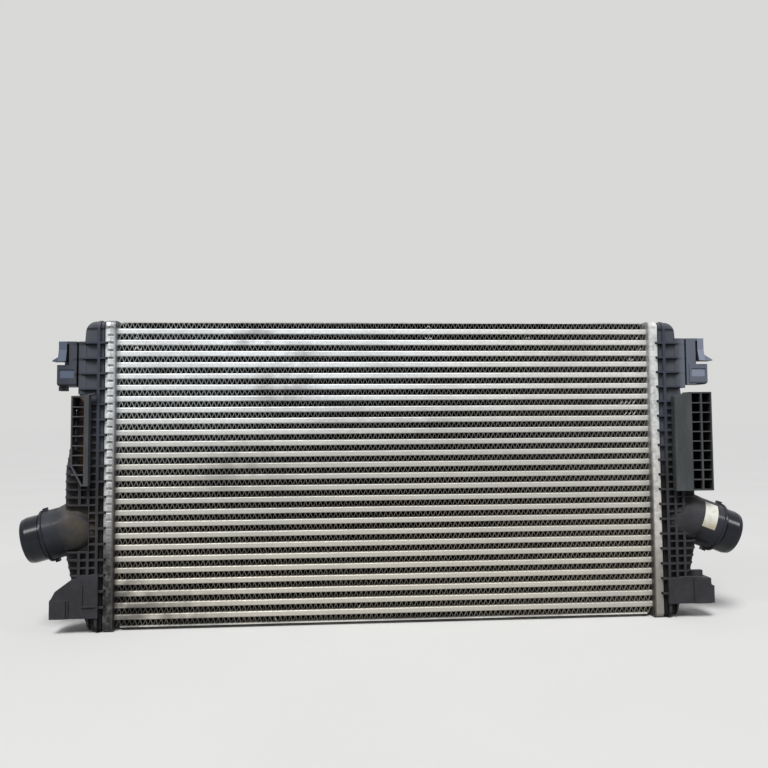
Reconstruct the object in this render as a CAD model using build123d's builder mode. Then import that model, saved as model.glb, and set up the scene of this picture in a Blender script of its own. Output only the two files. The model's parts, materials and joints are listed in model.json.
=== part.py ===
from build123d import *
from math import atan2, cos, radians, sin, tan
import os

os.makedirs("parts", exist_ok=True)

# Charge-air cooler (intercooler): a brazed aluminium core with a moulded air tank crimped on each end.
# Millimetres. X runs along the tubes, the front (cooling-air side) faces -Y, Z is up.
# The origin is below the middle of the core, level with the bottoms of the tanks and header plates.

overcut = 1.0  # how far a cutting form runs past the face that it opens

# ---- core -------------------------------------------------------------------------------------
core_width = 676.0  # between the two header plates
core_depth = 26.0
tube_count = 26
tube_height = 7.0
tube_corner = 1.5
tube_wall = 0.5
tube_web = 0.5
tube_web_count = 5
tube_end = 3.0  # how far a tube stands into its tank
fin_height = 7.05
fin_sheet = 0.24
fin_period = 6.3
fin_crest = 0.7  # flat brazed to the tube
fin_end_gap = 0.6
fins_per_node = 2
braze_gap = 0.03
side_plate_sheet = 1.4
side_plate_gap = 7.0  # from each header

# ---- header plates ----------------------------------------------------------------------------
header_sheet = 1.6
header_margin = 8.0  # beyond the core's front and back faces
header_overhang_top = 0.9  # beyond the side plates
header_overhang_bottom = 4.0
header_rim = 12.2  # depth of the pan along X
header_corner = 7.0
crimp_bend = 1.2
crimp_lip = 3.8  # how far the folded tabs reach over the tank's foot
crimp_notch_width = 3.2
crimp_notch_depth = 3.6
tube_slot_clearance = 0.06

# ---- gaskets ----------------------------------------------------------------------------------
gasket_width = 5.0
gasket_height = 1.8
seat_gap = 0.05

# ---- tanks ------------------------------------------------------------------------------------
tank_wall = 2.8
rib_count = 18  # strong ribs, one at each notch of the crimp
rib_pitch = 18.85
rib_thickness = 2.2
small_rib_thickness = 1.7
rib_height = 4.5  # on the front and back
side_rib_height = 0.6
rib_proud = 4.0  # rib crests beyond the header's face
rib_finger = 2.6  # how far a rib reaches back over the crimp
rib_clearance = 0.4
end_inset = 1.0
waist_length = 1.0  # between the crimp and the body
mouth_corner = 1.0
tank_top_reach = 36.5  # crest of the side wall from the header plate, at the top
tank_upper_reach = 43.5
tank_bulge_reach = 59.0
tank_lower_reach = 48.5
tank_bottom_reach = 29.0
upper_break = 87.5  # heights of the bends in the side wall, from the top and from the bottom
bulge_top = 196.1
bulge_bottom = 99.1
lower_break = 50.1
side_bend = 14.0
crest_round = 11.0
wall_round = 6.0
small_rib_top = 104.0  # from the top: half-pitch ribs begin
upright_rib = 18.7  # first upright rib, from the header plate
upright_rib_pitch = 10.3
upright_rib_thickness = 3.2
upright_rib_top = (0.0, 101.0, 196.0)

# ---- spigots ----------------------------------------------------------------------------------
spigot_radius = 30.3
spigot_bore = 24.0
spigot_height = {"left": 121.2, "right": 123.0}  # centre of the root above the tank's bottom
spigot_root = 60.0  # from the header plate
spigot_drop = {"left": 14.5, "right": 21.0}  # degrees below level
spigot_forward = {"left": 6.0, "right": 4.0}  # degrees towards the front
neck_length = {"left": 22.2, "right": 30.2}
collar_height = 1.8
collar_length = 4.0
groove_length = 2.0
groove_depth = 1.2
nose_length = 21.0
nose_radius = 28.4
nose_lead = 6.0  # drawn in towards the rim
nose_lead_depth = 1.4
nose_round = 2.2
lug_height = 3.6
lug_length = 4.6
lug_width = 9.0
flare_sections = ((18.0, 99.1, 147.1, 22.0), (42.0, 86.1, 159.1, 27.0))  # reach, low, high, half depth
flare_end = 3.5  # along the spigot's axis
bore_step = 10.0
plain_area = {"left": (28.5, 98.5, 152.9), "right": (42.0, 108.0, 152.9)}  # without ribs: reach, low, high

# ---- label (blank) ----------------------------------------------------------------------------
label_start = 4.0  # along the spigot's axis
label_length = 17.0
label_gap = 0.02
label_thickness = 0.25
label_top_angle = 59.0  # above the spigot's front
label_arc = 68.0

# ---- upper brackets, measured from the header plate and from the tank's top -----------------------
bracket_front = 21.0
bracket_skin = 3.0
upper_bracket_depth = 24.0
upper_bracket_top = {"left": 26.5, "right": 22.0}
arm_bottom = {"left": 91.5, "right": 86.5}
arm_reach = {"left": 43.5, "right": 47.6}
bracket_groove = 2.4
panel_width = {"left": 9.3, "right": 12.6}
hook_slot = 2.7
hook_level = 52.5
tongue_width = {"left": 9.6, "right": 8.3}
hook_reach = {"left": 7.5, "right": 11.5}
hook_slope = 0.6
ramp_rise = 13.0
ramp_proud = 4.0
box_start = {"left": 2.4, "right": 5.8}
box_width = {"left": 23.0, "right": 24.0}
box_top = 55.5
box_bottom = 82.0
box_round = 4.0
box_proud = 1.0
sunk_panel_height = 10.5
sunk_panel_rim = 2.6
sunk_panel_top = 5.6  # below the top of the box
sunk_panel_depth = 1.0
foot_width = 8.2  # the left box stands on a small foot
foot_drop = 5.0
foot_sink = 0.4
foot_aside = 7.6  # out from the middle of the box

# ---- lower brackets -----------------------------------------------------------------------------
lower_bracket_depth = 22.0
lower_bracket_proud = 2.0
lower_bracket_foot = 19.1  # underside above the bottom of the tanks
lower_bracket_start = 16.0  # from the header plate
# corners from the outer end of the underside: reach from the header plate, height above the underside
lower_bracket_edge = {
    "left": ((72.0, 0.0), (72.0, 22.5), (70.5, 24.0), (66.0, 32.5), (47.0, 46.5), (31.0, 50.5), (16.0, 52.5)),
    "right": ((75.8, 0.0), (75.8, 21.6), (72.3, 23.2), (71.0, 31.7), (40.7, 33.6), (16.0, 30.6)),
}
# raised pads and ridges of the face: near and far reach, low and high above the underside
lower_bracket_pads = {
    "left": (
        (53.0, 72.0, 0.0, 21.8),
        (49.9, 51.4, 0.0, 22.0),
        (33.5, 35.0, 15.0, 40.0),
        (19.0, 35.0, 13.3, 14.8),
    ),
    "right": ((49.0, 71.0, 0.0, 31.0),),
}
pad_height = 1.5
shelf = (44.0, 64.5, 29.0, 40.0)  # on the right bracket
shelf_front = 5.5  # behind the rib crests
shelf_depth = 6.0

# ---- air guides ---------------------------------------------------------------------------------
guide_front = 10.0  # stands in front of the rib crests
guide_depth = {"left": 40.0, "right": 22.0}
guide_wall = 1.7
guide_back = 3.4  # behind the cells
guide_bar = 1.4
guide_bar_sink = 0.3  # behind the guide's front
guide_gap = 0.05
# corners: reach from the header plate, height from the middle of the core
guide_outline = {
    "left": (
        (26.6, -13.9),
        (34.8, -13.9),
        (47.2, 10.3),
        (47.2, 94.6),
        (35.0, 95.0),
        (20.0, 98.4),
        (20.0, 96.8),
        (26.6, 95.3),
    ),
    "right": ((26.0, -29.5), (74.9, -29.5), (74.9, 96.1), (47.2, 96.1), (47.2, 94.9), (26.0, 90.7)),
}
guide_columns = {
    "left": (((32.0, -12.2), (33.8, -12.2), (44.8, 9.4), (45.5, 10.8), (45.5, 92.9), (32.0, 92.9)),),
    "right": (
        ((48.5, -27.8), (60.0, -27.8), (60.0, 94.4), (48.5, 94.4)),
        ((62.2, -27.8), (73.2, -27.8), (73.2, 94.4), (62.2, 94.4)),
    ),
}
guide_rows = {"left": 9, "right": 10}
# rectangles: near and far reach, low and high
guide_panel = {"left": (28.0, 30.6, -12.2, 92.9), "right": (27.7, 46.8, -27.8, 88.6)}
guide_clips = {"left": ((46.0, 50.5, 21.0, 29.0),), "right": ()}

# ---- worked out from the above ----------------------------------------------------------------
tube_pitch = tube_height + fin_height
core_height = tube_count * tube_height + (tube_count + 1) * fin_height
height = header_overhang_bottom + 2 * side_plate_sheet + core_height + header_overhang_top
middle = height / 2
core_middle = header_overhang_bottom + side_plate_sheet + core_height / 2
plate_x = core_width / 2
rim_x = plate_x + header_rim
pan_half = core_depth / 2 + header_margin
crest_half = pan_half + rib_proud
wall_half = crest_half - rib_height
body_x = rim_x + waist_length
tube_length = core_width + 2 * header_sheet + 2 * tube_end
sides = {"left": -1, "right": 1}


def tube_z(index):
    """Height of a tube's middle, counted from the top."""
    return core_middle + ((tube_count - 1) / 2 - index) * tube_pitch


def fin_z(index):
    """Height of a fin strip's middle, counted from the top."""
    return core_middle + (tube_count / 2 - index) * tube_pitch


def rib_z(index):
    """Height of a strong rib, counted from the top; halves give the small ribs between."""
    return core_middle + ((rib_count - 1) / 2 - index) * rib_pitch


def save(part, name):
    part.label = name
    export_step(part, f"parts/{name}.step")


# ---- tubes: flat, extruded in one with their webs ---------------------------------------------
def make_tube(z):
    with BuildPart() as tube:
        with BuildSketch(Plane.YZ.offset(-tube_length / 2)):
            with Locations((0, z)):
                RectangleRounded(core_depth, tube_height, tube_corner)
                RectangleRounded(
                    core_depth - 2 * tube_wall,
                    tube_height - 2 * tube_wall,
                    tube_corner - tube_wall,
                    mode=Mode.SUBTRACT,
                )
                with GridLocations((core_depth - tube_height) / (tube_web_count - 1), 0, tube_web_count, 1):
                    Rectangle(tube_web, tube_height - tube_wall)
        extrude(amount=tube_length)
    return tube.part


for number in range(tube_count):
    save(make_tube(tube_z(number)), f"tube_{number + 1:02d}")


# ---- fins: corrugated strip between the tubes ---------------------------------------------------
def fin_outline():
    """Closed outline of one corrugated strip about its own middle, with mitred folds."""
    half_sheet = fin_sheet / 2
    rise = fin_height - fin_sheet - 2 * braze_gap
    run = fin_period / 2 - fin_crest
    mitre = half_sheet * tan(atan2(rise, run) / 2)
    waves = int((core_width - 2 * fin_end_gap) / fin_period)
    start = -waves * fin_period / 2
    upper, lower = [], []
    for fold in range(2 * waves):
        level = 1 if fold % 2 else -1
        left = start + fold * fin_period / 2 + run / 2
        right = left + fin_crest
        upper.append((left - level * mitre, level * rise / 2 + half_sheet))
        upper.append((right + level * mitre, level * rise / 2 + half_sheet))
        lower.append((left + level * mitre, level * rise / 2 - half_sheet))
        lower.append((right - level * mitre, level * rise / 2 - half_sheet))
    return upper + lower[::-1]


with BuildPart() as fin:
    with BuildSketch(Plane.XZ.offset(-core_depth / 2)):
        with BuildLine():
            Polyline(*fin_outline(), close=True)
        make_face()
    extrude(amount=core_depth)

for first in range(0, tube_count + 1, fins_per_node):
    strips = [
        fin.part.moved(Location((0, 0, fin_z(index))))
        for index in range(first, min(first + fins_per_node, tube_count + 1))
    ]
    save(Compound(children=strips), f"fins_{first // fins_per_node + 1:02d}")

# ---- side plates above and below the core ---------------------------------------------------------
for name, z in (
    ("side_plate_top", core_middle + core_height / 2 + side_plate_sheet / 2),
    ("side_plate_bottom", core_middle - core_height / 2 - side_plate_sheet / 2),
):
    with BuildPart() as side_plate:
        with Locations((0, 0, z)):
            Box(core_width - 2 * side_plate_gap, core_depth, side_plate_sheet)
    save(side_plate.part, name)


# ---- header plates: pressed pans with tube slots and crimp tabs ---------------------------------
def make_header(side):
    with BuildPart() as header:
        with BuildSketch(Plane.YZ.offset(side * plate_x)):
            with Locations((0, middle)):
                RectangleRounded(2 * pan_half, height, header_corner)
        extrude(amount=side * header_rim)
        fillet(header.faces().sort_by(Axis.X)[-1 if side > 0 else 0].edges(), radius=crimp_bend)
        # the well that holds the gasket and the tank's foot
        with BuildSketch(Plane.YZ.offset(side * (plate_x + header_sheet))):
            with Locations((0, middle)):
                RectangleRounded(
                    2 * (pan_half - header_sheet), height - 2 * header_sheet, header_corner - header_sheet
                )
        extrude(amount=side * (header_rim - 2 * header_sheet), mode=Mode.SUBTRACT)
        # mouth left between the folded tabs
        with BuildSketch(Plane.YZ.offset(side * rim_x)):
            with Locations((0, middle)):
                RectangleRounded(
                    2 * (pan_half - crimp_lip), height - 2 * crimp_lip, header_corner - crimp_lip
                )
        extrude(amount=-side * 2 * header_sheet, mode=Mode.SUBTRACT)
        # notches between the tabs, one at each strong rib
        with Locations(*[(side * rim_x, 0, rib_z(index)) for index in range(rib_count)]):
            Box(2 * crimp_notch_depth, 2 * pan_half, crimp_notch_width, mode=Mode.SUBTRACT)
        # slots for the tubes
        with BuildSketch(Plane.YZ.offset(side * plate_x)):
            with Locations(*[(0, tube_z(index)) for index in range(tube_count)]):
                RectangleRounded(
                    core_depth + 2 * tube_slot_clearance,
                    tube_height + 2 * tube_slot_clearance,
                    tube_corner + tube_slot_clearance,
                )
        extrude(amount=side * header_sheet, mode=Mode.SUBTRACT)
    return header.part


# ---- gaskets in the wells of the headers ----------------------------------------------------------
def make_gasket(side):
    outer_y = pan_half - header_sheet - seat_gap
    outer_z = height / 2 - header_sheet - seat_gap
    corner = header_corner - header_sheet - seat_gap
    with BuildPart() as gasket:
        with BuildSketch(Plane.YZ.offset(side * (plate_x + header_sheet))):
            with Locations((0, middle)):
                RectangleRounded(2 * outer_y, 2 * outer_z, corner)
                RectangleRounded(
                    2 * (outer_y - gasket_width),
                    2 * (outer_z - gasket_width),
                    corner / 2,
                    mode=Mode.SUBTRACT,
                )
        extrude(amount=side * gasket_height)
    return gasket.part


for name, side in sides.items():
    save(make_header(side), f"header_plate_{name}")
    save(make_gasket(side), f"gasket_{name}")


# ---- tanks: each moulded in one with its ribs, spigot and brackets --------------------------------
def prism(side, corners, front, back):
    """Plate outlined by corners (reach from the header plate, height), from front to back along Y."""
    with BuildPart() as plate:
        with BuildSketch(Plane.XZ.offset(-front)):
            with BuildLine():
                Polyline(*[(side * (plate_x + reach), z) for reach, z in corners], close=True)
            make_face()
        extrude(amount=front - back)
    return plate.part


def oblong(near, far, low, high):
    return [(near, low), (far, low), (far, high), (near, high)]


def tank_form(side, inset, end, begin, half, edge_round):
    """Solid tank shape from begin outwards, drawn in by inset at the side wall and by end at its ends."""
    corners = [
        (tank_top_reach, height - end),
        (tank_upper_reach, height - upper_break),
        (tank_bulge_reach, bulge_top),
        (tank_bulge_reach, bulge_bottom),
        (tank_lower_reach, lower_break),
        (tank_bottom_reach, end),
    ]
    wall = [(side * (plate_x + reach - inset), z) for reach, z in corners]
    with BuildPart() as form:
        with BuildSketch(Plane.XZ.offset(-half)):
            with BuildLine():
                FilletPolyline(
                    (side * begin, height - end), *wall, (side * begin, end), radius=side_bend - inset
                )
                Line((side * begin, end), (side * begin, height - end))
            make_face()
        extrude(amount=2 * half)
        flat_edges = form.edges().filter_by_position(Axis.Y, -half, -half)
        flat_edges += form.edges().filter_by_position(Axis.Y, half, half)
        outer_edges = [edge for edge in flat_edges if abs(edge.center().X) > begin + seat_gap]
        fillet(outer_edges, radius=edge_round)
    return form.part


def make_ribs(name):
    """Rib cage that wraps a tank: strong ribs at the crimp's notches, small ones and uprights between."""
    side = sides[name]
    plain_reach, plain_low, plain_high = plain_area[name]
    finger_x = rim_x - rib_finger
    first_x = plate_x + upright_rib
    far_x = plate_x + tank_bulge_reach
    strong = [rib_z(index) for index in range(rib_count)]
    between = [rib_z(index + 0.5) for index in range(rib_count - 1)]
    small = [z for z in between if z < height - small_rib_top]
    with BuildPart() as ribs:
        with Locations(*[(side * (finger_x + far_x) / 2, 0, z) for z in strong]):
            Box(far_x - finger_x, 2 * crest_half, rib_thickness)
        with Locations(*[(side * (first_x + far_x) / 2, 0, z) for z in small]):
            Box(far_x - first_x, 2 * crest_half, small_rib_thickness)
        for number, from_top in enumerate(upright_rib_top):
            x = first_x + number * upright_rib_pitch
            with Locations((side * x, 0, (height - from_top) / 2)):
                Box(upright_rib_thickness, 2 * crest_half, height - from_top)
        add(tank_form(side, 0, 0, finger_x, crest_half, crest_round), mode=Mode.INTERSECT, clean=False)
        # no ribs on the root of the spigot
        with BuildSketch(Plane.YZ.offset(side * (plate_x + plain_reach))):
            with Locations((0, (plain_low + plain_high) / 2)):
                Rectangle(2 * (crest_half + overcut), plain_high - plain_low)
        extrude(amount=side * (tank_bulge_reach + overcut - plain_reach), mode=Mode.SUBTRACT, clean=False)
        # the fingers stay clear of the folded tabs
        with BuildSketch(Plane.YZ.offset(side * finger_x)):
            with Locations((0, middle)):
                Rectangle(2 * (pan_half + rib_clearance), height)
        extrude(amount=side * (body_x - finger_x), mode=Mode.SUBTRACT, clean=False)
    return ribs.part


def spigot_plane(name):
    """Plane through a spigot's axis: x runs out along the axis, y is upwards."""
    drop = radians(spigot_drop[name])
    forward = radians(spigot_forward[name])
    out = Vector(sides[name] * cos(drop) * cos(forward), -cos(drop) * sin(forward), -sin(drop))
    root = Vector(sides[name] * (plate_x + spigot_root), 0, spigot_height[name])
    return Plane(origin=root, x_dir=out, z_dir=out.cross(Vector(0, 0, 1)).normalized())


def flare(name, wall):
    """Flare from a tank's side into the neck of its spigot, drawn in by wall."""
    neck = spigot_plane(name)
    with BuildPart() as form:
        for reach, low, high, half in flare_sections:
            with BuildSketch(Plane.YZ.offset(sides[name] * (plate_x + reach))):
                with Locations((0, (low + high) / 2)):
                    Ellipse(half - wall, (high - low) / 2 - wall)
        with BuildSketch(Plane(origin=neck.origin, x_dir=neck.z_dir, z_dir=neck.x_dir).offset(flare_end)):
            Circle(spigot_radius - wall)
        loft()
    return form.part


def make_spigot(name):
    """Flare, neck, collar, groove and nose about the spigot's axis, with its lugs, still without a bore."""
    plane = spigot_plane(name)
    neck_end = neck_length[name]
    groove_start = neck_end + collar_length
    nose_start = groove_start + groove_length
    nose_end = nose_start + nose_length
    root = flare(name, 0)
    with BuildPart() as spigot:
        with BuildSketch(plane) as profile:
            with BuildLine():
                Polyline(
                    (flare_end, 0),
                    (flare_end, spigot_radius),
                    (neck_end, spigot_radius),
                    (neck_end + collar_height / 2, spigot_radius + collar_height),
                    (groove_start - collar_height / 2, spigot_radius + collar_height),
                    (groove_start, nose_radius - groove_depth),
                    (nose_start, nose_radius - groove_depth),
                    (nose_start, nose_radius),
                    (nose_end - nose_lead, nose_radius),
                    (nose_end, nose_radius - nose_lead_depth),
                    (nose_end, 0),
                    close=True,
                )
            make_face()
            end_corners = profile.vertices().group_by(Axis.X)[-1]
            fillet(end_corners.sort_by(Axis.Y)[-1], radius=nose_round)
        revolve(axis=Axis(plane.origin, plane.x_dir))
        with BuildSketch(plane):
            with Locations((neck_end - lug_length / 2, 0)):
                Rectangle(lug_length, 2 * (spigot_radius + lug_height))
        extrude(amount=lug_width / 2, both=True)
        add(root)
    return spigot.part


def make_duct(name):
    """Air space through the flare and the spigot."""
    plane = spigot_plane(name)
    across = Plane(origin=plane.origin, x_dir=plane.z_dir, z_dir=plane.x_dir)
    mouth = neck_length[name] + collar_length + groove_length + nose_length
    root = flare(name, tank_wall)
    with BuildPart() as duct:
        add(root)
        with BuildSketch(across.offset(flare_end)):
            Circle(spigot_radius - tank_wall)
        extrude(amount=bore_step - flare_end)
        with BuildSketch(across.offset(bore_step)):
            Circle(spigot_bore)
        extrude(amount=mouth + overcut - bore_step)
    return duct.part


def upper_bracket(name):
    """Clip bracket: arm on the tank, block behind a groove, spring tongue with a hook, and lower box."""
    side = sides[name]
    front = -bracket_front
    back = front + upper_bracket_depth
    top = height - upper_bracket_top[name]
    level = height - hook_level
    arm = arm_reach[name]
    block = arm + bracket_groove
    slot = block + panel_width[name]
    tongue = slot + hook_slot
    tongue_end = tongue + tongue_width[name]
    tip = tongue_end + hook_reach[name]
    hook_top = level + hook_slot + hook_reach[name] * hook_slope
    low = height - box_bottom
    high = height - box_top
    near = arm + box_start[name]
    far = near + box_width[name]
    arm_start = tank_top_reach - side_rib_height - tank_wall / 2
    box_x = side * (plate_x + (near + far) / 2)
    panel_x = far - near - 2 * sunk_panel_rim
    hook = [(tongue, level + hook_slot / 2), (tip, level + hook_slot / 2), (tip, level + hook_slot)]
    hook += [(tongue_end, hook_top), (tongue, hook_top)]
    plates = [
        prism(side, oblong(arm_start, arm, height - arm_bottom[name], top), front, back),
        prism(side, oblong(arm_start, tongue_end, low, top), back - bracket_skin, back),
        prism(side, oblong(block, slot, low, top), front, back),
        prism(side, oblong(block, tongue_end, top - bracket_skin, top), front, back),
        prism(side, oblong(tongue, tongue_end, hook_top, top), front, back - tongue_width[name]),
        prism(side, hook, front, back - tongue_width[name]),
    ]
    with BuildPart() as lower_box:
        with Locations((box_x, (front - box_proud + back) / 2, (low + high) / 2)):
            Box(far - near, upper_bracket_depth + box_proud, high - low)
        fillet(lower_box.faces().sort_by(Axis.Z)[0].edges(), radius=box_round)
        panel_z = high - sunk_panel_top - sunk_panel_height / 2
        with Locations((box_x, front - box_proud, panel_z)):
            Box(panel_x, 2 * sunk_panel_depth, sunk_panel_height, mode=Mode.SUBTRACT)
    with BuildPart() as bracket:
        for plate in plates:
            add(plate)
        # lead-in ramp on the tongue
        with BuildSketch(Plane.YZ.offset(side * (plate_x + tongue))):
            with BuildLine():
                Polyline(
                    (front, level + ramp_rise + hook_slot),
                    (front - ramp_proud, level + hook_slot / 2),
                    (front, level + hook_slot / 2),
                    close=True,
                )
            make_face()
        extrude(amount=side * tongue_width[name])
        add(lower_box.part)
        if name == "left":
            foot_z = low + (foot_sink - foot_drop) / 2
            with Locations((box_x + side * foot_aside, (front + back) / 2, foot_z)):
                Box(foot_width, upper_bracket_depth / 2, foot_drop + foot_sink)
    return bracket.part


def raised(corners, rise):
    """The same corners, higher by rise."""
    return [(reach, z + rise) for reach, z in corners]


def lower_bracket(name):
    """Boxed bracket open to the back, with raised pads and ridges on its face."""
    side = sides[name]
    front = -crest_half - lower_bracket_proud
    corners = raised([(lower_bracket_start, 0), *lower_bracket_edge[name]], lower_bracket_foot)
    pads = [raised(oblong(*pad), lower_bracket_foot) for pad in lower_bracket_pads[name]]
    plates = [prism(side, pad, front - pad_height, front + pad_height) for pad in pads]
    if name == "right":
        shelf_y = shelf_front - crest_half
        shelf_corners = raised(oblong(*shelf), lower_bracket_foot)
        plates.append(prism(side, shelf_corners, shelf_y, shelf_y + shelf_depth))
    with BuildPart() as bracket:
        add(prism(side, corners, front, front + lower_bracket_depth))
        with BuildSketch(Plane.XZ.offset(-front - bracket_skin)):
            with BuildLine():
                Polyline(*[(side * (plate_x + reach), z) for reach, z in corners], close=True)
            make_face()
            offset(amount=-bracket_skin, kind=Kind.INTERSECTION)
        extrude(amount=-lower_bracket_depth, mode=Mode.SUBTRACT)
        for plate in plates:
            add(plate)
    return bracket.part


def make_tank(name):
    side = sides[name]
    foot_half = pan_half - header_sheet - seat_gap
    foot_corner = header_corner - header_sheet - seat_gap
    waist_inset = crimp_lip + rib_clearance
    mouth_half = pan_half - waist_inset - tank_wall
    mouth_height = height - 2 * (waist_inset + tank_wall)
    seat_x = plate_x + header_sheet + gasket_height + seat_gap
    outside = tank_form(side, side_rib_height, end_inset, body_x, wall_half, wall_round)
    chamber = tank_form(
        side,
        side_rib_height + tank_wall,
        end_inset + tank_wall,
        body_x + tank_wall,
        wall_half - tank_wall,
        wall_round - tank_wall,
    )
    ribs = make_ribs(name)
    spigot = make_spigot(name)
    duct = make_duct(name)
    brackets = [upper_bracket(name), lower_bracket(name)]
    with BuildPart() as tank:
        # foot held in the header's pan, and the waist that the crimp closes round
        with BuildSketch(Plane.YZ.offset(side * seat_x)):
            with Locations((0, middle)):
                RectangleRounded(2 * foot_half, height - 2 * (header_sheet + seat_gap), foot_corner)
        extrude(amount=side * (rim_x - header_sheet - seat_gap - seat_x))
        with BuildSketch(Plane.YZ.offset(side * seat_x)):
            with Locations((0, middle)):
                RectangleRounded(
                    2 * (pan_half - waist_inset), height - 2 * waist_inset, header_corner - waist_inset
                )
        extrude(amount=side * (body_x + tank_wall - seat_x))
        add(outside)
        add(ribs, clean=False)
        for bracket in brackets:
            add(bracket, clean=False)
        add(spigot, clean=False)
        # air space: mouth towards the tubes, chamber, and duct out through the spigot
        with BuildSketch(Plane.YZ.offset(side * seat_x)):
            with Locations((0, middle)):
                RectangleRounded(2 * mouth_half, mouth_height, mouth_corner)
        extrude(amount=side * (body_x + 2 * tank_wall - seat_x), mode=Mode.SUBTRACT, clean=False)
        add(chamber, mode=Mode.SUBTRACT, clean=False)
        add(duct, mode=Mode.SUBTRACT)
    return tank.part


for name in sides:
    save(make_tank(name), f"tank_{name}")


# ---- air guides: grids fitted over the fronts of the tanks ----------------------------------------
def make_guide(name):
    """Hollow panel towards the core and columns of deep cells outside it, cut to the tank's shape."""
    side = sides[name]
    front = -crest_half - guide_front
    back = front + guide_depth[name]
    columns = [raised(corners, core_middle) for corners in guide_columns[name]]
    low = min(z for _, z in columns[0])
    high = max(z for _, z in columns[0])
    near = min(reach for reach, _ in columns[0]) - guide_wall / 2
    far = max(reach for reach, _ in columns[-1]) + guide_wall / 2
    shell = prism(side, raised(guide_outline[name], core_middle), front, back)
    panel = raised(oblong(*guide_panel[name]), core_middle)
    hollow = prism(side, panel, front + guide_wall, back + overcut)
    cells = [prism(side, corners, front - overcut, back - guide_back) for corners in columns]
    bars = [low + (high - low) * row / guide_rows[name] for row in range(1, guide_rows[name])]
    slats = [
        prism(side, oblong(near, far, z - guide_bar / 2, z + guide_bar / 2), front + guide_bar_sink, back)
        for z in bars
    ]
    clips = [
        prism(side, raised(oblong(*clip), core_middle), -crest_half - 2 * guide_wall, back)
        for clip in guide_clips[name]
    ]
    tank_space = tank_form(
        side, -guide_gap, -guide_gap, rim_x - rib_finger, crest_half + guide_gap, crest_round + guide_gap
    )
    with BuildPart() as guide:
        add(shell)
        add(hollow, mode=Mode.SUBTRACT)
        for cell in cells:
            add(cell, mode=Mode.SUBTRACT)
        for slat in slats:
            add(slat, clean=False)
        for clip in clips:
            add(clip)
        add(tank_space, mode=Mode.SUBTRACT)
    return guide.part


for name in sides:
    save(make_guide(name), f"air_guide_{name}")

# ---- blank label round the front of the right spigot's neck ---------------------------------------
axis_plane = spigot_plane("right")
up = axis_plane.y_dir
ahead = axis_plane.z_dir
edge_dir = up * sin(radians(label_top_angle)) + ahead * cos(radians(label_top_angle))
across = axis_plane.x_dir.cross(edge_dir)
with BuildPart() as label:
    with BuildSketch(Plane(origin=axis_plane.origin, x_dir=axis_plane.x_dir, z_dir=across)):
        with Locations((label_start + label_length / 2, spigot_radius + label_gap + label_thickness / 2)):
            Rectangle(label_length, label_thickness)
    revolve(axis=Axis(axis_plane.origin, axis_plane.x_dir), revolution_arc=label_arc)
save(label.part, "label")
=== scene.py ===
import itertools
import json
import math
import random

import bpy
from mathutils import Matrix, Vector


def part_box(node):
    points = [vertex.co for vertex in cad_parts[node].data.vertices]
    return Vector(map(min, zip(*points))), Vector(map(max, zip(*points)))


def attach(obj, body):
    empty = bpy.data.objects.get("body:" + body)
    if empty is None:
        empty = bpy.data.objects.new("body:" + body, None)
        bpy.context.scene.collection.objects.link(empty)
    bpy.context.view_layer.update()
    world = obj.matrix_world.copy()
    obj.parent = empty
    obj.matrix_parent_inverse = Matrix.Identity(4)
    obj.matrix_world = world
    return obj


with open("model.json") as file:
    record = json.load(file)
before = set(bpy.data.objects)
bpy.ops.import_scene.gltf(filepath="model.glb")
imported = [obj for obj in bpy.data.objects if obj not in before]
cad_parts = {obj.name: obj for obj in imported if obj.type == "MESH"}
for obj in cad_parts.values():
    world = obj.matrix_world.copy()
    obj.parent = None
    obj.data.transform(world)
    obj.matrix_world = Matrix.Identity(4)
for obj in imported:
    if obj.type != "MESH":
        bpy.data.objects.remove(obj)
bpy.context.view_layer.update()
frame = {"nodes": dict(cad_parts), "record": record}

# A used charge-air cooler stands on a pale studio floor. Metres; X along the tubes, the front faces -Y.
# The imported bodies keep their shapes: this script gives them worn materials with some painted light
# and shade, adds dark sheets of painted shade between the fins and the fins' bent edges, and sets the
# floor, lights and camera.

# ---- sizes read from the frame -------------------------------------------------------------------
TUBES = 26
RIB_PITCH = 0.01885
RIBS_BELOW_MIDDLE = 10  # more than there are strong ribs below the core's middle
tube_low, tube_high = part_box("tube_01")
last_low, last_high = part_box(f"tube_{TUBES}")
fin_low, fin_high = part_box("fins_01")
header_low, header_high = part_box("header_plate_right")
guide_low, guide_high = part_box("air_guide_right")
CORE_FRONT = tube_low.y
CORE_BACK = tube_high.y
CORE_HALF = fin_high.x
TUBE_HEIGHT = tube_high.z - tube_low.z
PITCH = (tube_low.z - last_low.z) / (TUBES - 1)
FIN_HEIGHT = PITCH - TUBE_HEIGHT
TOP_FIN_Z = (tube_low.z + tube_high.z) / 2 + PITCH / 2
CORE_MIDDLE = (tube_high.z + last_low.z) / 2
TOP = header_high.z
HEADER_INNER = header_low.x
GUIDE_FRONT = guide_low.y

# ---- the spigots, as the record's mounts give them -----------------------------------------------
spigots = {m["name"]: m for m in frame["record"]["mounts"] if m["name"].startswith("spigot")}
COLLAR_TO_NOSE = 0.0045  # from the collar's middle to the bare nose
NOSE_EDGE = 0.001  # over which the neck's dirt gives way to the clean nose
NECK = (-0.034, -0.022)  # along the axis, where the flare turns into the neck
SPIGOT_REACH = (0.0410, 0.0385)  # from the axis, outside and inside the spigot's looks
MIDDLE_BLEND = 0.1  # half the width over which left looks turn into right ones


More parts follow.
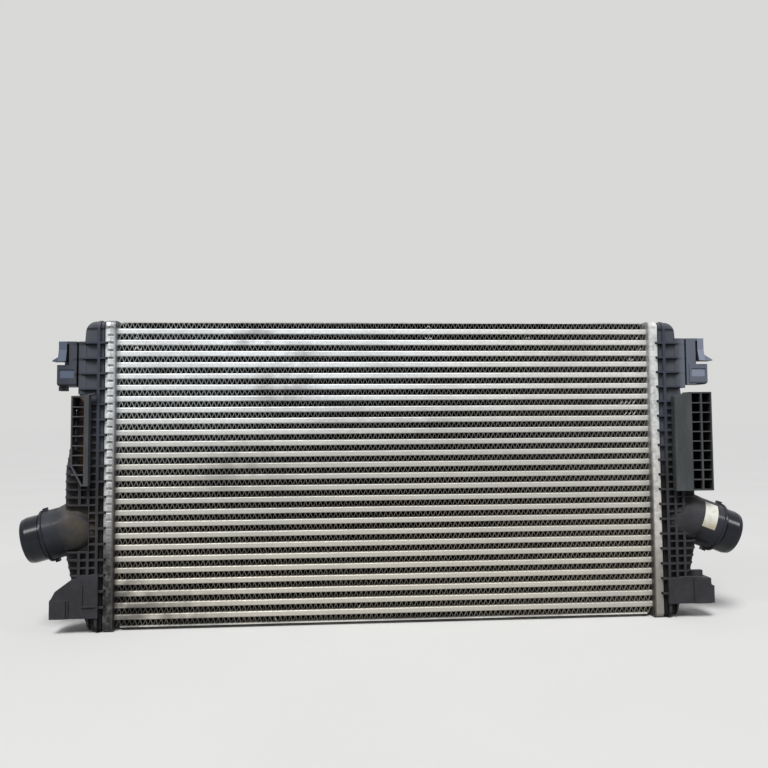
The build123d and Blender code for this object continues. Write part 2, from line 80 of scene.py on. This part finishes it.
# ---- material helpers ----------------------------------------------------------------------------
class Look:
    """One procedural material on the principled shader, in the coordinates of the shared frame."""

    def __init__(self, name, **constants):
        self.material = bpy.data.materials.new(name)
        self.material.use_nodes = True
        self.tree = self.material.node_tree
        self.shader = self.tree.nodes["Principled BSDF"]
        for socket, value in constants.items():
            self.shader.inputs[socket.replace("_", " ")].default_value = value
        self.place = self.node("ShaderNodeTexCoord").outputs["Object"]
        self.x, self.y, self.z = self.split(self.place)
        self.facing_x, self.facing_y, self.facing_z = self.split(
            self.node("ShaderNodeNewGeometry").outputs["Normal"]
        )

    def node(self, kind, inputs=None, **settings):
        """Adds a node, its inputs linked where they are sockets and set where they are values."""
        made = self.tree.nodes.new(kind)
        for name, value in settings.items():
            setattr(made, name, value)
        for name, value in (inputs or {}).items():
            if isinstance(value, bpy.types.NodeSocket):
                self.tree.links.new(value, made.inputs[name])
            else:
                made.inputs[name].default_value = value
        return made

    def split(self, vector):
        return self.node("ShaderNodeSeparateXYZ", {"Vector": vector}).outputs

    def calc(self, operation, *values):
        """One operation on numbers."""
        return self.node("ShaderNodeMath", dict(enumerate(values)), operation=operation).outputs[0]

    def vector(self, operation, first, second, output):
        """One vector operation on two values, or on one where the second is None."""
        inputs = {0: first} if second is None else {0: first, 1: second}
        return self.node("ShaderNodeVectorMath", inputs, operation=operation).outputs[output]

    def both(self, *values):
        """Product of several masks."""
        result = values[0]
        for value in values[1:]:
            result = self.calc("MULTIPLY", result, value)
        return result

    def fade(self, value, start, end, low=0.0, high=1.0):
        """Smooth step of value, low at start and high at end."""
        inputs = {"Value": value, "From Min": start, "From Max": end, "To Min": low, "To Max": high}
        return self.node("ShaderNodeMapRange", inputs, interpolation_type="SMOOTHSTEP").outputs["Result"]

    def noise(self, scale, detail=3.0, stretch=(1, 1, 1), shift=(0, 0, 0)):
        moved = self.node(
            "ShaderNodeMapping", {"Vector": self.place, "Scale": stretch, "Location": shift}
        )
        inputs = {"Vector": moved.outputs[0], "Scale": scale, "Detail": detail, "Roughness": 0.55}
        return self.node("ShaderNodeTexNoise", inputs).outputs["Fac"]

    def patches(self, scale, start, end, **settings):
        """Noise as soft-edged patches, 0 outside and 1 inside them."""
        return self.fade(self.noise(scale, **settings), start, end)

    def mix(self, factor, under, over, blend="MIX"):
        made = self.node("ShaderNodeMix", data_type="RGBA", blend_type=blend)
        for index, value in ((0, factor), (6, under), (7, over)):
            if isinstance(value, bpy.types.NodeSocket):
                self.tree.links.new(value, made.inputs[index])
            else:
                made.inputs[index].default_value = value if index == 0 else (*value, 1.0)
        return made.outputs[2]

    def blend(self, factor, under, over):
        """Mixes two numbers."""
        return self.node("ShaderNodeMix", {0: factor, 2: under, 3: over}, data_type="FLOAT").outputs[0]

    def spot(self, x, z, radius, flat=1.0):
        """Soft round patch about a place on the front, 1 at its centre; flat widens it along X."""
        across = self.calc("DIVIDE", self.calc("SUBTRACT", self.x, x), flat)
        along = self.calc("SUBTRACT", self.z, z)
        square = self.calc("ADD", self.calc("POWER", across, 2.0), self.calc("POWER", along, 2.0))
        return self.fade(self.calc("SQRT", square), radius, 0.1 * radius)

    def band(self, value, low, high, soft):
        """1 where value lies between low and high, with soft edges."""
        above = self.fade(value, low - soft, low + soft)
        below = self.fade(value, high + soft, high - soft)
        return self.both(above, below)

    def on_left(self):
        """1 on the object's left half, 0 on its right."""
        return self.fade(self.x, MIDDLE_BLEND, -MIDDLE_BLEND)

    def connect(self, name, socket):
        self.tree.links.new(socket, self.shader.inputs[name])

    def bump(self, height, strength, distance):
        inputs = {"Height": height, "Strength": strength, "Distance": distance}
        made = self.node("ShaderNodeBump", inputs)
        self.connect("Normal", made.outputs["Normal"])


# ---- materials -----------------------------------------------------------------------------------
GRIME = (0.050, 0.046, 0.042)
# smudges on the core's front: place, radius, how much wider than high, strength
SMUDGES = (
    (-0.170, 0.361, 0.026, 1.6, 0.55),
    (-0.137, 0.297, 0.050, 1.5, 0.42),
    (-0.112, 0.340, 0.024, 1.8, 0.40),
    (-0.193, 0.192, 0.060, 1.6, 0.38),
    (-0.060, 0.262, 0.045, 1.6, 0.25),
    (0.040, 0.253, 0.045, 2.2, 0.22),
    (-0.331, 0.035, 0.060, 1.0, 0.75),
    (-0.283, 0.012, 0.060, 2.0, 0.60),
)


def grime_over(look, colour):
    """Smudges of dark dirt that lie over the whole core alike."""
    cloudy = look.patches(55.0, 0.25, 0.65, detail=4.0)
    for x, z, radius, flat, strength in SMUDGES:
        colour = look.mix(look.both(look.spot(x, z, radius, flat), cloudy, strength), colour, GRIME)
    return colour


def tube_look():
    look = Look("tube_aluminium", Metallic=0.35)
    # paler and bluer towards the top left: painted light; duller and beige lower down, with dust
    height = look.fade(look.z, 0.80 * TOP, 0.52 * TOP)
    across = look.fade(look.x, -0.25 * CORE_HALF, 0.75 * CORE_HALF)
    upper = look.mix(across, (0.93, 0.97, 0.99), (0.80, 0.79, 0.76))
    lower = look.mix(look.fade(look.z, 0.45 * TOP, 0.10 * TOP), (0.60, 0.59, 0.54), (0.64, 0.61, 0.53))
    light_and_wear = look.mix(height, upper, lower)
    dull = look.patches(11.0, 0.46, 0.72, stretch=(0.5, 1, 1))
    light_and_wear = look.mix(look.both(dull, 0.40), light_and_wear, (0.44, 0.44, 0.43))
    streaks = look.patches(150.0, 0.50, 0.75, stretch=(0.12, 1, 1), detail=4.0)
    light_and_wear = look.mix(look.both(streaks, 0.28), light_and_wear, (0.40, 0.39, 0.37))
    grain = look.patches(520.0, 0.35, 0.70, detail=2.0)
    light_and_wear = look.mix(look.both(grain, 0.30), light_and_wear, (0.40, 0.38, 0.34))
    specks = look.patches(900.0, 0.67, 0.73, detail=2.0)
    light_and_wear = look.mix(look.both(specks, 0.45), light_and_wear, GRIME)
    look.connect("Base Color", grime_over(look, light_and_wear))
    look.connect("Roughness", look.fade(look.noise(90.0), 0.3, 0.7, 0.42, 0.62))
    look.bump(look.noise(1400.0, detail=2.0), 0.2, 0.0001)
    return look.material


FIN_EDGE = (0.0003, 0.0028)  # from the core's faces: bright edge, and painted shade full inside the fins


def fin_look():
    look = Look("fin_aluminium", Metallic=0.3, Roughness=0.6)
    # fin edges paler and bluer to the left and higher up: painted light; browner towards the bottom
    left = look.fade(look.x, 0.3 * CORE_HALF, -0.8 * CORE_HALF)
    edge = look.mix(left, (0.40, 0.40, 0.38), (0.80, 0.84, 0.84))
    edge = look.mix(look.fade(look.z, 0.75 * TOP, 0.30 * TOP), edge, (0.44, 0.41, 0.34))
    edge = look.mix(look.both(look.patches(45.0, 0.45, 0.7), 0.55), edge, (0.17, 0.16, 0.14))
    # inside the core the fins are painted near black: painted shade between them
    depth = look.calc("SUBTRACT", CORE_BACK, look.calc("ABSOLUTE", look.y))
    inside = look.fade(depth, *FIN_EDGE)
    colour = look.mix(inside, edge, (0.028, 0.026, 0.024))
    look.connect("Base Color", grime_over(look, colour))
    return look.material


# near-black sheets that stand for the shade between the fins
def shade_sheet_look():
    look = Look("shade_sheets", Roughness=1.0)
    sheet_tone = look.mix(look.patches(300.0, 0.4, 0.6), (0.008, 0.007, 0.006), (0.022, 0.019, 0.015))
    look.connect("Base Color", sheet_tone)
    look.bump(look.noise(900.0), 0.6, 0.0006)
    return look.material


DENT_X = 0.0052  # from a header's core side to the row of dents between the tube ends
DENT_HALF = 0.0030
DENT_EDGE = 0.0012
BRIGHT_EDGE = (0.0065, 0.0105)  # from a header's core side, the rounded edge beside the tank, where a highlight is painted
SHADE_AND_DIRT_EDGE = (0.0030, 0.0006)  # from a header's core side, where painted shade and dirt start and where they are full
TOP_CORNER = (0.0135, 0.0090)  # below the headers' tops, where the dark patches start and where they are full


def header_look():
    look = Look("header_aluminium", Metallic=0.35)
    left = look.on_left()
    out = look.calc("ABSOLUTE", look.x)
    white = look.mix(look.fade(look.z, 0.80 * TOP, 0.40 * TOP), (0.66, 0.69, 0.72), (0.46, 0.46, 0.46))
    white = look.mix(look.fade(look.z, 0.40 * TOP, 0.20 * TOP), white, (0.020, 0.019, 0.019))
    warm = look.mix(look.fade(look.z, 0.70 * TOP, 0.40 * TOP), (0.80, 0.81, 0.81), (0.74, 0.72, 0.68))
    warm = look.mix(look.fade(look.z, 0.35 * TOP, 0.12 * TOP), warm, (0.32, 0.30, 0.265))
    colour = look.mix(left, warm, white)
    mottled = look.patches(130.0, 0.42, 0.66, detail=4.0)
    colour = look.mix(look.both(mottled, 0.45), colour, (0.24, 0.235, 0.23))
    # dents between the tube ends, painted dark as shade in them and bumped in, sharp on the left header
    # and faint on the right
    wave = look.calc("MULTIPLY", look.calc("SUBTRACT", look.z, CORE_MIDDLE), 4 * math.pi / RIB_PITCH)
    row = look.fade(look.calc("COSINE", wave), 0.25, 0.95)
    dent = HEADER_INNER + DENT_X
    inner = look.band(out, dent - DENT_HALF, dent + DENT_HALF, DENT_EDGE)
    dents_higher = look.fade(look.z, 0.28 * TOP, 0.48 * TOP, 0.25, 1.0)
    dents = look.both(row, inner, look.blend(left, 0.15, 1.0), dents_higher)
    uneven = look.patches(230.0, 0.20, 0.60)
    colour = look.mix(look.both(dents, uneven, 0.85), colour, (0.055, 0.055, 0.055))
    high = look.fade(look.z, *(TOP - below for below in TOP_CORNER))
    corner = look.both(high, left, look.patches(200.0, 0.25, 0.55))
    colour = look.mix(look.both(corner, 0.8), colour, (0.115, 0.115, 0.115))
    # painted highlight along the rounded edge beside the tank, where it catches the light; painted shade
    # and dirt along the edge at the core
    edge_highlight = look.both(
        look.band(out, *(HEADER_INNER + far for far in BRIGHT_EDGE), 0.0008),
        look.fade(look.calc("COSINE", wave), 0.6, -0.4),
        left,
        look.fade(look.z, 0.25 * TOP, 0.55 * TOP),
    )
    colour = look.mix(look.both(edge_highlight, 0.7), colour, (0.93, 0.94, 0.94))
    side = look.fade(out, *(HEADER_INNER + far for far in SHADE_AND_DIRT_EDGE))
    low = look.fade(look.z, 0.75 * TOP, 0.35 * TOP)
    colour = look.mix(look.both(side, look.blend(low, 0.35, 0.85)), colour, GRIME)
    look.connect("Base Color", colour)
    look.connect("Roughness", look.fade(look.noise(160.0), 0.3, 0.7, 0.38, 0.62))
    crumpled = look.both(look.noise(190.0, detail=4.0), look.blend(left, 0.35, 1.0))
    look.bump(look.calc("SUBTRACT", crumpled, look.both(dents, 1.5)), 0.7, 0.0010)
    return look.material


def plate_look():
    look = Look("plate_aluminium", Metallic=0.35)
    dull = look.patches(40.0, 0.4, 0.7, stretch=(0.4, 1, 1))
    colour = look.mix(dull, (0.80, 0.79, 0.75), (0.55, 0.53, 0.50))
    look.connect("Base Color", grime_over(look, colour))
    look.connect("Roughness", look.fade(look.noise(120.0), 0.3, 0.7, 0.35, 0.6))
    look.bump(look.noise(600.0, detail=2.0), 0.2, 0.0002)
    return look.material


def on_spigots(look, start, end):
    """Mask on both spigots, 0 at start and 1 at end along the axis from the near end of a nose."""
    masks = []
    for spigot in spigots.values():
        axis = Vector(spigot["axis"])
        near = Vector(spigot["pos_m"]) - axis * (spigot["dims"]["length_mm"] / 2000)
        away = look.vector("SUBTRACT", look.place, near, 0)
        along = look.vector("DOT_PRODUCT", away, axis, "Value")
        beside = look.vector("LENGTH", look.vector("CROSS_PRODUCT", away, axis, 0), None, "Value")
        masks.append(look.both(look.fade(along, start, end), look.fade(beside, *SPIGOT_REACH)))
    return look.calc("MAXIMUM", *masks)


# places on the upper brackets: sunk panels of the lower boxes, and the tongues
PANEL_X = ((-0.4048, -0.3862), (0.3936, 0.4132))
PANEL_Z = (TOP - 0.0720, TOP - 0.0607)
PANEL_Y = (-0.0216, -0.0212)  # in front of the panels' floors, and on them
TONGUE_START = (-0.3955, 0.4030)
TONGUE_Z = TOP - 0.0510
PAINT_EDGE = 0.0004  # over which one bracket colour turns into the next
BRACKET_X = (0.374, 0.384)  # from the middle, off and on the brackets
BRACKET_Z = (0.280, 0.290)
# places on the tanks' fronts: the ribs' crests, and how far from the middle the walls reach
CREST_Y = -0.025
WALL_REACH = (0.397, 0.387)
RIB_SHADE_REACH = (0.392, 0.384)
# where brown dirt shows behind the left guide's cells
SILT_X = (-0.3790, -0.3712)
SILT_LOW = 0.195
SILT_Y = (-0.008, -0.011)
# place and radius of a brownish painted highlight on the left spigot's flared root
FLARE_HIGHLIGHT = (-0.380, 0.128, 0.034)


# inside the guides' cells, left and right: nearest and farthest from the middle, lowest and highest
GUIDE_CELLS = ((0.3700, 0.3835, 0.1794, 0.2845), (0.3865, 0.4112, 0.1638, 0.2860))


def nylon_look():
    look = Look("tank_nylon", Specular_IOR_Level=0.13, Coat_Roughness=0.17)
    out = look.calc("ABSOLUTE", look.x)
    right = look.fade(look.x, -MIDDLE_BLEND, MIDDLE_BLEND)
    # bluish higher up on the tanks: a painted sheen of the light; darker and greyer towards the bottom
    low = look.fade(look.z, 0.70 * TOP, 0.42 * TOP)
    colour = look.mix(low, (0.055, 0.062, 0.086), (0.038, 0.036, 0.040))
    cloudy = look.patches(60.0, 0.35, 0.7, detail=4.0)
    colour = look.mix(look.both(cloudy, 0.35), colour, (0.072, 0.076, 0.088))
    # the walls between the ribs are paler high on the tanks; low on the tanks they are painted near
    # black: painted shade in the deep cells
    sunk = look.both(look.fade(look.y, CREST_Y + 0.0004, CREST_Y + 0.0025), look.fade(out, *WALL_REACH))
    colour = look.mix(look.both(sunk, 0.6), colour, (0.105, 0.112, 0.125))
    cells = look.fade(look.z, 0.58 * TOP, 0.46 * TOP)
    colour = look.mix(look.both(sunk, cells, 0.9), colour, (0.007, 0.006, 0.006))
    # brown dirt has settled on the tank behind the left guide's cells
    silted = look.both(
        look.band(look.x, *SILT_X, 0.0010),
        look.band(look.z, SILT_LOW, GUIDE_CELLS[0][3] - 0.001, 0.001),
        look.fade(look.y, *SILT_Y),
    )
    silt = look.patches(160.0, 0.15, 0.55)
    colour = look.mix(look.both(silted, silt, 0.85), colour, (0.24, 0.140, 0.090))
    # faces that look down are painted near black: painted shade
    under = look.fade(look.facing_z, -0.10, -0.75)
    colour = look.mix(look.both(under, 0.90), colour, (0.004, 0.003, 0.003))
    # painted shadow under the strong ribs of the upper tanks
    steps = look.calc("DIVIDE", look.calc("SUBTRACT", look.z, CORE_MIDDLE), RIB_PITCH)
    phase = look.calc("FRACT", look.calc("ADD", steps, RIBS_BELOW_MIDDLE + 0.5))
    rib_shadow = look.both(look.fade(phase, 0.74, 0.93), look.calc("SUBTRACT", 1.0, low))
    behind = look.fade(look.y, CREST_Y + 0.0010, CREST_Y + 0.0025)
    wall = look.both(behind, look.fade(out, *RIB_SHADE_REACH))
    colour = look.mix(look.both(rib_shadow, wall, 0.80), colour, (0.008, 0.008, 0.010))
    # the brackets' faces are painted paler, most on the right: painted light and reflection
    bracket = look.both(look.fade(out, *BRACKET_X), look.fade(look.z, *BRACKET_Z))
    pale = look.mix(right, (0.062, 0.068, 0.084), (0.165, 0.185, 0.235))
    faces = look.fade(look.facing_y, -0.4, -0.9)
    colour = look.mix(look.both(bracket, faces, look.blend(right, 0.5, 0.75)), colour, pale)
    # the sunk panels and the tongues' ramps are painted paler and bluer still: painted light where they
    # catch it, with some dust in the panels
    across = look.calc("MAXIMUM", *(look.band(look.x, *ends, PAINT_EDGE / 2) for ends in PANEL_X))
    panel = look.both(across, look.band(look.z, *PANEL_Z, PAINT_EDGE / 2), look.fade(look.y, *PANEL_Y))
    tongue = look.calc(
        "MAXIMUM",
        *(look.fade(look.x, start, start + math.copysign(PAINT_EDGE, start)) for start in TONGUE_START),
    )
    ramp = look.both(tongue, look.fade(look.z, TONGUE_Z, TONGUE_Z + PAINT_EDGE), faces)
    light = look.calc("MAXIMUM", look.both(panel, faces, bracket), look.both(ramp, 0.8))
    colour = look.mix(light, colour, look.mix(right, (0.125, 0.155, 0.215), (0.260, 0.290, 0.370)))
    settled = look.both(look.fade(look.facing_z, 0.3, 0.95), look.patches(90.0, 0.25, 0.6))
    colour = look.mix(look.both(settled, 0.35), colour, (0.14, 0.135, 0.13))
    # a brownish painted highlight on the left spigot's flared root
    root = look.both(look.spot(*FLARE_HIGHLIGHT), look.patches(70.0, 0.25, 0.65))
    colour = look.mix(look.both(root, 0.40), colour, (0.13, 0.105, 0.05))
    specks = look.patches(900.0, 0.64, 0.72, detail=2.0)
    colour = look.mix(look.both(specks, 0.22), colour, (0.16, 0.155, 0.15))
    clean = on_spigots(look, -COLLAR_TO_NOSE, -COLLAR_TO_NOSE + NOSE_EDGE)
    neck = on_spigots(look, *NECK)
    colour = look.mix(look.both(neck, 0.55), colour, (0.014, 0.018, 0.028))
    look.connect("Base Color", look.mix(clean, colour, (0.005, 0.007, 0.012)))
    # the necks shine a little, the noses are polished by their hoses
    look.connect("Coat Weight", look.both(neck, look.blend(clean, look.blend(right, 0.10, 0.25), 0.40)))
    dusty = look.fade(look.noise(130.0), 0.3, 0.7, 0.42, 0.62)
    look.connect("Roughness", look.blend(clean, dusty, 0.25))
    grain = look.calc("ADD", look.noise(1100.0, detail=3.0), look.both(look.noise(60.0), 0.6))
    look.bump(grain, look.blend(clean, 0.2, 0.04), 0.0003)
    return look.material


CELL_DEPTH = (0.0012, 0.0045)  # behind the guides' fronts: the grid's edge, and where the painted shade inside the cells is full


def guide_look():
    look = Look("guide_plastic", Specular_IOR_Level=0.25)
    worn = look.patches(60.0, 0.35, 0.7, stretch=(1, 1, 0.3))
    colour = look.mix(worn, (0.055, 0.060, 0.063), (0.080, 0.086, 0.092))
    left = look.on_left()
    inside = look.mix(left, (0.004, 0.004, 0.004), (0.060, 0.034, 0.024))
    out = look.calc("ABSOLUTE", look.x)
    cells = [
        look.both(look.band(out, near, far, 0.0001), look.band(look.z, low, high, 0.0001))
        for near, far, low, high in GUIDE_CELLS
    ]
    cells = look.blend(left, cells[1], cells[0])
    # the cells are painted near black behind the grid's edge: painted shade, brownish in the left guide
    deep = look.both(cells, look.fade(look.y, *(GUIDE_FRONT + back for back in CELL_DEPTH)))
    colour = look.mix(deep, colour, inside)
    settled = look.both(look.fade(look.facing_z, 0.2, 0.9), look.patches(150.0, 0.3, 0.6))
    colour = look.mix(look.both(settled, 0.25), colour, (0.20, 0.19, 0.17))
    scratches = look.patches(420.0, 0.60, 0.70, stretch=(1, 1, 0.15))
    colour = look.mix(look.both(scratches, 0.30), colour, (0.13, 0.135, 0.14))
    look.connect("Base Color", colour)
    look.connect("Roughness", look.fade(look.noise(200.0), 0.3, 0.7, 0.42, 0.62))
    look.bump(look.noise(1300.0, detail=2.0), 0.15, 0.0002)
    return look.material


def rubber_look():
    look = Look("gasket_rubber", Roughness=0.8)
    dusty = look.patches(400.0, 0.4, 0.6)
    look.connect("Base Color", look.mix(dusty, (0.012, 0.012, 0.012), (0.03, 0.03, 0.03)))
    return look.material


LABEL_STAIN = (0.128, 0.110)  # heights: clean above, stained below


def label_look():
    look = Look("blank_label", Roughness=0.45)
    stain = look.fade(look.z, *LABEL_STAIN)
    colour = look.mix(stain, (0.72, 0.71, 0.64), (0.52, 0.46, 0.30))
    colour = look.mix(look.both(look.patches(160.0, 0.45, 0.7), 0.35), colour, (0.40, 0.36, 0.26))
    look.connect("Base Color", colour)
    look.bump(look.noise(300.0, detail=3.0), 0.25, 0.0002)
    return look.material


LOOKS = {
    "tube": tube_look(),
    "fins": fin_look(),
    "side_plate": plate_look(),
    "header_plate": header_look(),
    "gasket": rubber_look(),
    "tank": nylon_look(),
    "air_guide": guide_look(),
    "label": label_look(),
}
for name, body in frame["nodes"].items():
    material = next(material for start, material in LOOKS.items() if name.startswith(start))
    body.data.materials.clear()
    body.data.materials.append(material)


# ---- dark sheets of painted shade between the fins, and fins bent at the front -------------------
def mesh_object(name, points, faces, material):
    mesh = bpy.data.meshes.new(name)
    mesh.from_pydata(points, [], faces)
    mesh.validate()
    made = bpy.data.objects.new(name, mesh)
    bpy.context.scene.collection.objects.link(made)
    mesh.materials.append(material)
    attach(made, "root")
    return made


def add_block(points, faces, low, high):
    """Appends a box to a mesh that is being listed."""
    first = len(points)
    points += itertools.product(*zip(low, high))
    sides = ((0, 1, 3, 2), (4, 6, 7, 5), (0, 4, 5, 1), (2, 3, 7, 6), (0, 2, 6, 4), (1, 5, 7, 3))
    faces += [tuple(first + corner for corner in side) for side in sides]


SHEET_HALF = 0.0008  # half a shade sheet's thickness
SHEET_GAP = 0.0002  # between a shade sheet and the tubes


def shade_sheets():
    """Thin dark sheets half-way through the fins of each row: painted shade in the gaps between the
    fins.
    """
    points, faces = [], []
    half = FIN_HEIGHT / 2 - SHEET_GAP
    for row in range(TUBES + 1):
        z = TOP_FIN_Z - row * PITCH
        add_block(points, faces, (-CORE_HALF, -SHEET_HALF, z - half), (CORE_HALF, SHEET_HALF, z + half))
    return mesh_object("shade_sheets", points, faces, shade_sheet_look())


BENT_SHEET = 0.00025  # half a sheet's thickness
BENT_DEPTH = 0.0022
BENT_STEPS = 5
BENT_CURL = 0.35  # most that a sheet curls, in radians
BENT_PROUD = 0.35  # how far a sheet's middle stands out, in shares of its depth
BENT_BOW = 2.2  # how much less its ends do
# fins bent at the front: place on the core's front, length, lean from upright in degrees
BENT_FINS = (
    (-0.3138, 0.3584, 0.0034, 25),
    (-0.3160, 0.3450, 0.0052, 28),
    (-0.3125, 0.3455, 0.0050, -24),
    (-0.3090, 0.3440, 0.0040, 30),
    (0.0500, 0.3728, 0.0045, 30),
    (0.0530, 0.3728, 0.0045, -30),
    (0.0490, 0.3582, 0.0042, -34),
    (0.0522, 0.3580, 0.0048, 33),
    (0.0556, 0.3578, 0.0042, -36),
    (0.1790, 0.3588, 0.0036, 35),
    (0.1830, 0.3585, 0.0036, -35),
    (0.3162, 0.3308, 0.0046, -27),
    (0.3186, 0.3302, 0.0042, 30),
    (0.3300, 0.3446, 0.0050, 38),
    (0.3262, 0.3590, 0.0040, 35),
    (0.3030, 0.2740, 0.0062, 35),
    (0.3085, 0.2744, 0.0064, 35),
    (0.3140, 0.2746, 0.0062, 35),
    (0.3195, 0.2748, 0.0058, 35),
    (0.3085, 0.2604, 0.0056, 35),
    (0.3140, 0.2602, 0.0060, 35),
    (0.3200, 0.2606, 0.0058, 35),
    (0.2770, 0.3730, 0.0036, 35),
    (-0.1421, 0.0088, 0.0040, -30),
    (-0.0391, 0.0216, 0.0040, 30),
)


def bent_fins():
    """Edges of fins that something has knocked sideways, standing a little out of the front."""
    random.seed(7)
    points, faces = [], []
    for x, z, length, lean in BENT_FINS:
        lean = math.radians(lean)
        curl = random.uniform(-BENT_CURL, BENT_CURL)
        first = len(points)
        for step in range(BENT_STEPS + 1):
            share = step / BENT_STEPS - 0.5
            along = share * length
            turn = lean + curl * along / length
            middle_x = x + along * math.sin(turn)
            middle_z = z + along * math.cos(turn)
            proud = BENT_DEPTH * (BENT_PROUD - BENT_BOW * share**2)
            for side in (-BENT_SHEET, BENT_SHEET):
                beside_x = middle_x + side * math.cos(turn)
                beside_z = middle_z - side * math.sin(turn)
                for y in (CORE_FRONT - proud, CORE_FRONT + BENT_DEPTH):
                    points.append((beside_x, y, beside_z))
        for step in range(BENT_STEPS):
            a = first + 4 * step
            for corner in ((0, 1, 5, 4), (1, 3, 7, 5), (3, 2, 6, 7), (2, 0, 4, 6)):
                faces.append(tuple(a + c for c in corner))
        faces.append((first, first + 2, first + 3, first + 1))
        last = first + 4 * BENT_STEPS
        faces.append((last, last + 1, last + 3, last + 2))
    look = Look("bent_fin_aluminium", Metallic=0.4)
    dull = look.patches(900.0, 0.4, 0.6)
    look.connect("Base Color", look.mix(dull, (0.78, 0.78, 0.77), (0.50, 0.50, 0.48)))
    look.connect("Roughness", look.fade(look.noise(700.0), 0.3, 0.7, 0.30, 0.50))
    return mesh_object("bent_fins", points, faces, look.material)


shade_sheets()
bent_fins()


# ---- studio: floor, backdrop light, lamps --------------------------------------------------------
FLOOR = (0.660, 0.660, 0.653)
FLOOR_CLOUDS = 1.02  # how much paler its paler patches are
FLOOR_BOUNCE = (0.16, 0.16, 0.16)  # what the floor sends back to the object
FLOOR_SIZE = 60.0
BACKDROP = (0.690, 0.690, 0.683)
WORLD_LIGHT = (0.28, 0.28, 0.28 * 1.02)
SUN_STRENGTH = 2.75
SUN_HEIGHT = math.radians(58)  # above the floor, in front of the object
SUN_ASIDE = math.radians(-14)
SUN_SOFTNESS = math.radians(22)
# lamps that put highlights on the polished noses: place, target, watts
NOSE_LAMPS = {
    "left_lamp": ((-1.36, -1.35, 1.6), (-0.4, 0, 0.15), 8),
    "right_lamp": ((1.87, -1.14, 1.37), (0.4, 0, 0.15), 7),
}
NOSE_LAMP_SIZE = 0.5


def studio_floor():
    """Floor that is pale to look at and in reflections, and darker as a source of light."""
    bpy.ops.mesh.primitive_plane_add(size=FLOOR_SIZE)
    floor = bpy.context.object
    floor.name = "studio_floor"
    look = Look("pale_floor", Roughness=0.9, Specular_IOR_Level=0.0)
    rays = look.node("ShaderNodeLightPath").outputs
    seen = look.calc("MAXIMUM", rays["Is Camera Ray"], rays["Is Glossy Ray"])
    seen = look.calc("MAXIMUM", seen, rays["Is Transmission Ray"])
    pale = look.mix(look.patches(3.0, 0.3, 0.7), FLOOR, tuple(FLOOR_CLOUDS * c for c in FLOOR))
    look.connect("Base Color", look.mix(seen, FLOOR_BOUNCE, pale))
    floor.data.materials.append(look.material)


def studio_world():
    """Even light from all round; the camera and glossy surfaces see the pale backdrop."""
    world = bpy.data.worlds.new("studio")
    bpy.context.scene.world = world
    world.use_nodes = True
    tree = world.node_tree
    rays = tree.nodes.new("ShaderNodeLightPath").outputs
    pale = tree.nodes.new("ShaderNodeMixRGB")
    pale.inputs["Color1"].default_value = (*WORLD_LIGHT, 1)
    pale.inputs["Color2"].default_value = (*BACKDROP, 1)
    seen = rays["Is Camera Ray"]
    for other in ("Is Glossy Ray", "Is Transmission Ray"):
        either = tree.nodes.new("ShaderNodeMath")
        either.operation = "MAXIMUM"
        tree.links.new(seen, either.inputs[0])
        tree.links.new(rays[other], either.inputs[1])
        seen = either.outputs[0]
    tree.links.new(seen, pale.inputs["Fac"])
    tree.links.new(pale.outputs[0], tree.nodes["Background"].inputs["Color"])


def lamp(name, kind, place, target, energy, **settings):
    data = bpy.data.lights.new(name, kind)
    data.energy = energy
    for setting, value in settings.items():
        setattr(data, setting, value)
    made = bpy.data.objects.new(name, data)
    made.location = place
    made.rotation_euler = (Vector(target) - Vector(place)).to_track_quat("-Z", "Y").to_euler()
    bpy.context.scene.collection.objects.link(made)


studio_floor()
studio_world()
sun_flat = math.cos(SUN_HEIGHT)
sun_place = (sun_flat * math.sin(SUN_ASIDE), -sun_flat * math.cos(SUN_ASIDE), math.sin(SUN_HEIGHT))
lamp("key_sun", "SUN", sun_place, (0, 0, 0), SUN_STRENGTH, angle=SUN_SOFTNESS)
for name, (place, target, watts) in NOSE_LAMPS.items():
    lamp(name, "AREA", place, target, watts, shape="DISK", size=NOSE_LAMP_SIZE)


# ---- camera: the photograph's place and angle ----------------------------------------------------
CAMERA_PLACE = Vector((-0.0728, -0.9502, 0.2526))
CAMERA_AHEAD = Vector((0.0712, 0.9963, 0.0507)).normalized()
CAMERA_RIGHT = Vector((0.9975, -0.0710, -0.0072))
FRAME_PIXELS = 768
FOCAL_PIXELS = 740
SENSOR = 36.0


def photo_camera():
    data = bpy.data.cameras.new("photo_camera")
    data.sensor_width = SENSOR
    data.lens = SENSOR * FOCAL_PIXELS / FRAME_PIXELS
    camera = bpy.data.objects.new("photo_camera", data)
    up = CAMERA_RIGHT.cross(CAMERA_AHEAD).normalized()
    right = CAMERA_AHEAD.cross(up)
    turn = Matrix((right, up, -CAMERA_AHEAD)).transposed()
    camera.matrix_world = Matrix.Translation(CAMERA_PLACE) @ turn.to_4x4()
    bpy.context.scene.collection.objects.link(camera)
    bpy.context.scene.camera = camera


photo_camera()
bpy.context.scene.view_settings.view_transform = "Standard"
